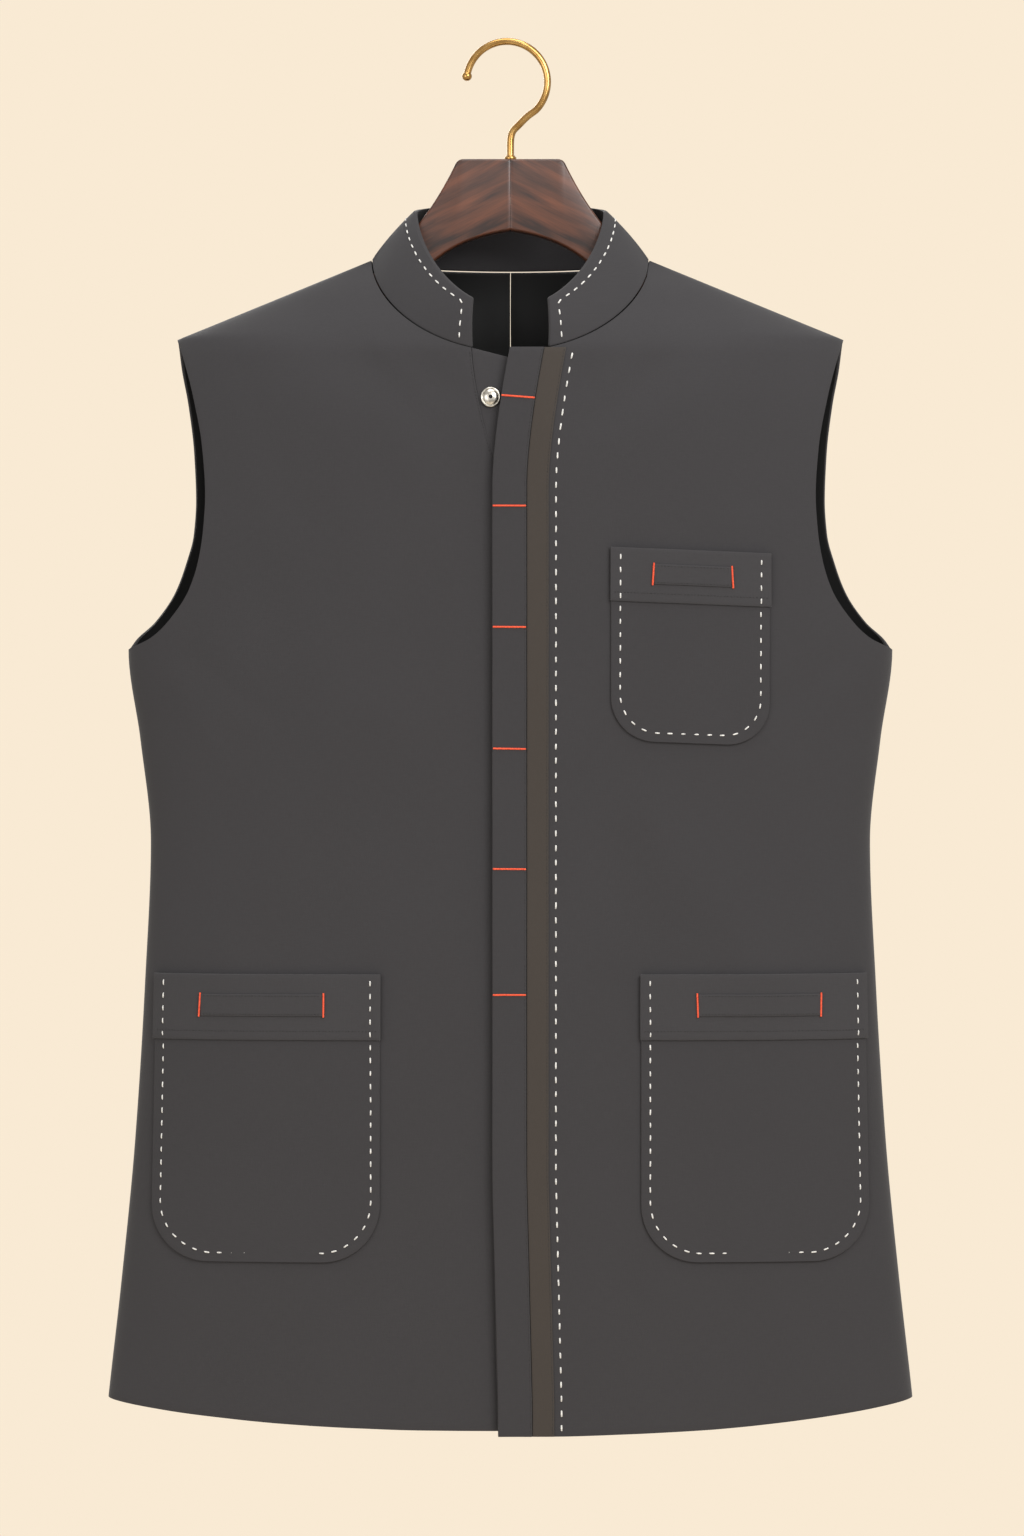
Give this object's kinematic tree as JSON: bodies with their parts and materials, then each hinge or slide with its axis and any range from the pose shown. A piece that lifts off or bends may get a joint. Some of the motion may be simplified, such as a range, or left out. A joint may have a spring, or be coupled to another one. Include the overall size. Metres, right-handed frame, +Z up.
{
  "type": "nehru jacket on a hanger",
  "caption": "Sleeveless band-collar jacket with patch pockets, contrast running stitches and bar tacks, hanging flat on a wooden hanger with a brass hook.",
  "frame": {"origin": "the point inside the top of the hanger's hook that bears on a rail", "axes": "+Z up, +X towards the wearer's left, -Y the front of the jacket"},
  "size_m": [0.514, 0.1232, 0.888],
  "materials": {
    "jacket_cloth": "matt charcoal wool-look cloth with a fine plain weave",
    "pocket_band": "the same charcoal cloth, a second layer",
    "lining": "near-black smooth lining",
    "ribbon": "fine ribbed taupe tape",
    "button": "worn silver",
    "hanger_wood": "satin dark walnut stain",
    "brass": "polished"
  },
  "bodies": {
    "root": {"front_left": "jacket_cloth", "front_right": "jacket_cloth", "back_left": "jacket_cloth", "back_right": "jacket_cloth", "collar": "jacket_cloth", "placket": "jacket_cloth", "button_stand": "jacket_cloth", "lining_left": "lining", "lining_right": "lining", "ribbon": "ribbon", "pocket_right_bag": "jacket_cloth", "pocket_right_band": "pocket_band", "pocket_right_tab": "ribbon", "pocket_left_bag": "jacket_cloth", "pocket_left_band": "pocket_band", "pocket_left_tab": "ribbon", "pocket_chest_bag": "jacket_cloth", "pocket_chest_band": "pocket_band", "pocket_chest_tab": "ribbon", "button": "button", "hanger_left": "hanger_wood", "hanger_right": "hanger_wood", "hook": "brass", "ferrule": "brass"}
  },
  "joints": []
}
